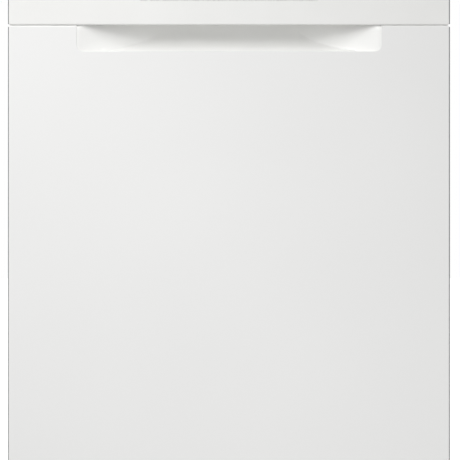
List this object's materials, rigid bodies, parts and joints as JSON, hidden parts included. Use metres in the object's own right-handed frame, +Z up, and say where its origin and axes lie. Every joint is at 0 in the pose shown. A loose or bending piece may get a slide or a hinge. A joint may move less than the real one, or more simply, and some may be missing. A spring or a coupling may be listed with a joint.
{
  "type": "built in dishwasher",
  "caption": "Built-in dishwasher with a recessed grip under its control strip, a drop-down door, wire baskets, spray arms and a base of pumps.",
  "frame": {"origin": "on the floor under the middle of the width and depth", "axes": "+Z up, +X to the right seen from the front, the front faces -Y"},
  "size_m": [0.596, 0.5699, 0.818],
  "materials": {
    "white_enamel": "smooth satin white enamel",
    "white_plastic": "smooth satin white moulding",
    "stainless": "fine brushed stainless steel",
    "galvanised": "dull zinc coat",
    "base_plastic": "textured dark grey polypropylene",
    "grey_plastic": "satin grey polypropylene",
    "pale_plastic": "satin pale grey polypropylene",
    "coated_wire": "nylon-coated wire",
    "rubber": "black elastomer",
    "felt": "dark fibrous felt with a bitumen face",
    "smoked_glass": "smoked glass",
    "circuit": "green circuit board",
    "button_plastic": "light grey moulding",
    "pump_plastic": "dark grey moulding"
  },
  "bodies": {
    "cabinet": {"base_tray": "base_plastic", "tub": "stainless", "side_panel_left": "galvanised", "side_panel_right": "galvanised", "top_frame": "galvanised", "insulation_blanket": "felt", "kick_plate": "white_enamel", "sump": "pale_plastic", "circulation_pump": "pump_plastic", "drain_pump": "pump_plastic", "softener": "pale_plastic", "inlet_valve": "pale_plastic", "mains_gland": "base_plastic", "air_break": "pale_plastic", "feed_pipe": "pale_plastic", "filter_plate": "stainless", "spray_hub": "pale_plastic", "outer_rails": "stainless", "door_gasket": "rubber", "latch_strike": "galvanised", "hinge_brackets": "galvanised"},
    "impeller": {"pump_impeller": "grey_plastic"},
    "salt_lid": {"salt_cap": "grey_plastic"},
    "filter": {"filter_cylinder": "pale_plastic"},
    "lower_arm": {"lower_spray_arm": "grey_plastic"},
    "door": {"door_panel": "white_enamel", "control_panel": "white_plastic", "control_inset": "white_plastic", "display_window": "smoked_glass", "grip_cup": "white_plastic", "door_liner": "stainless", "dispenser_housing": "pale_plastic", "door_insulation": "felt", "control_board": "circuit", "door_latch": "grey_plastic", "door_screws": "stainless", "hinge_arms": "galvanised"},
    "detergent_lid": {"dispenser_lid": "pale_plastic"},
    "rinse_lid": {"rinse_cap": "grey_plastic"},
    "power_key": {"power_button": "button_plastic"},
    "program_key": {"program_button": "button_plastic"},
    "start_key": {"start_button": "button_plastic"},
    "rail_slides": {"inner_rails": "stainless"},
    "upper_basket": {"upper_rack": "coated_wire", "spray_feed_tube": "pale_plastic"},
    "upper_arm": {"upper_spray_arm": "grey_plastic"},
    "rollers_front": {"front_rollers": "pale_plastic"},
    "rollers_rear": {"rear_rollers": "pale_plastic"},
    "left_shelf": {"cup_shelf_left": "grey_plastic"},
    "right_shelf": {"cup_shelf_right": "grey_plastic"},
    "lower_basket": {"lower_rack": "coated_wire", "cutlery_basket": "grey_plastic"},
    "tines_middle": {"tine_row_middle": "coated_wire"},
    "tines_rear": {"tine_row_rear": "coated_wire"},
    "wheels_front": {"front_wheels": "grey_plastic"},
    "wheels_rear": {"rear_wheels": "grey_plastic"},
    "front_left_foot": {"foot_front_left": "base_plastic"},
    "front_right_foot": {"foot_front_right": "base_plastic"},
    "rear_left_foot": {"foot_rear_left": "base_plastic"},
    "rear_right_foot": {"foot_rear_right": "base_plastic"}
  },
  "joints": [
    {"name": "door_hinge", "type": "hinge", "parent": "cabinet", "child": "door", "pos_m": [0, -0.242, 0.122], "axis": [1, 0, 0], "range_deg": [0, 90], "stiffness_Nm_per_rad": 20},
    {"name": "power_press", "type": "slide", "parent": "door", "child": "power_key", "axis": [0, 1, 0], "range_m": [0, 0.0015], "stiffness_N_per_m": 800},
    {"name": "program_press", "type": "slide", "parent": "door", "child": "program_key", "axis": [0, 1, 0], "range_m": [0, 0.0015], "stiffness_N_per_m": 800},
    {"name": "start_press", "type": "slide", "parent": "door", "child": "start_key", "axis": [0, 1, 0], "range_m": [0, 0.0015], "stiffness_N_per_m": 800},
    {"name": "detergent_lid_slide", "type": "slide", "parent": "door", "child": "detergent_lid", "axis": [0, 0, 1], "range_m": [0, 0.062]},
    {"name": "rinse_cap_turn", "type": "hinge", "parent": "door", "child": "rinse_lid", "pos_m": [0.048, -0.243, 0.40867], "axis": [0, -1, 0], "range_deg": [0, 90]},
    {"name": "rail_slide", "type": "slide", "parent": "cabinet", "child": "rail_slides", "axis": [0, -1, 0], "range_m": [0, 0.2204]},
    {"name": "upper_rack_slide", "type": "slide", "parent": "cabinet", "child": "upper_basket", "axis": [0, -1, 0], "range_m": [0, 0.4403]},
    {"name": "upper_arm_spin", "type": "hinge", "parent": "upper_basket", "child": "upper_arm", "pos_m": [0, 0.014, 0.391], "axis": [0, 0, 1], "continuous": true},
    {"name": "front_roller_spin", "type": "hinge", "parent": "upper_basket", "child": "rollers_front", "pos_m": [0, 0.03, 0.522], "axis": [1, 0, 0], "continuous": true},
    {"name": "rear_roller_spin", "type": "hinge", "parent": "upper_basket", "child": "rollers_rear", "pos_m": [0, 0.19, 0.522], "axis": [1, 0, 0], "continuous": true},
    {"name": "left_shelf_fold", "type": "hinge", "parent": "upper_basket", "child": "left_shelf", "pos_m": [-0.229, 0, 0.502], "axis": [0, -1, 0], "range_deg": [0, 85]},
    {"name": "right_shelf_fold", "type": "hinge", "parent": "upper_basket", "child": "right_shelf", "pos_m": [0.229, 0, 0.502], "axis": [0, 1, 0], "range_deg": [0, 85]},
    {"name": "lower_rack_slide", "type": "slide", "parent": "cabinet", "child": "lower_basket", "axis": [0, -1, 0], "range_m": [0, 0.1136]},
    {"name": "middle_tines_fold", "type": "hinge", "parent": "lower_basket", "child": "tines_middle", "pos_m": [0, 0.028, 0.1646], "axis": [-1, 0, 0], "range_deg": [0, 85]},
    {"name": "rear_tines_fold", "type": "hinge", "parent": "lower_basket", "child": "tines_rear", "pos_m": [0, 0.112, 0.1646], "axis": [-1, 0, 0], "range_deg": [0, 85]},
    {"name": "front_wheel_spin", "type": "hinge", "parent": "lower_basket", "child": "wheels_front", "pos_m": [0, -0.115, 0.1523], "axis": [1, 0, 0], "continuous": true},
    {"name": "rear_wheel_spin", "type": "hinge", "parent": "lower_basket", "child": "wheels_rear", "pos_m": [0, 0.15, 0.1523], "axis": [1, 0, 0], "continuous": true},
    {"name": "lower_arm_spin", "type": "hinge", "parent": "cabinet", "child": "lower_arm", "pos_m": [0, 0.014, 0.1393], "axis": [0, 0, 1], "continuous": true},
    {"name": "impeller_spin", "type": "hinge", "parent": "cabinet", "child": "impeller", "pos_m": [0.096, -0.045, 0.07], "axis": [0, 1, 0], "continuous": true},
    {"name": "salt_cap_turn", "type": "hinge", "parent": "cabinet", "child": "salt_lid", "pos_m": [-0.15, 0.07, 0.118], "axis": [0, 0, 1], "range_deg": [0, 90]},
    {"name": "filter_turn", "type": "hinge", "parent": "cabinet", "child": "filter", "pos_m": [0.096, 0.066, 0.1], "axis": [0, 0, 1], "range_deg": [0, 90]},
    {"name": "front_left_foot_screw", "type": "slide", "parent": "cabinet", "child": "front_left_foot", "axis": [0, 0, -1], "range_m": [0, 0.06]},
    {"name": "front_right_foot_screw", "type": "slide", "parent": "cabinet", "child": "front_right_foot", "axis": [0, 0, -1], "range_m": [0, 0.06]},
    {"name": "rear_left_foot_screw", "type": "slide", "parent": "cabinet", "child": "rear_left_foot", "axis": [0, 0, -1], "range_m": [0, 0.06]},
    {"name": "rear_right_foot_screw", "type": "slide", "parent": "cabinet", "child": "rear_right_foot", "axis": [0, 0, -1], "range_m": [0, 0.06]}
  ],
  "couplings": [
    {"joint": "lower_rack_slide", "follows": "door_hinge", "m_per_rad": 0.072},
    {"joint": "upper_rack_slide", "follows": "door_hinge", "m_per_rad": 0.28},
    {"joint": "rail_slide", "follows": "door_hinge", "m_per_rad": 0.14}
  ]
}
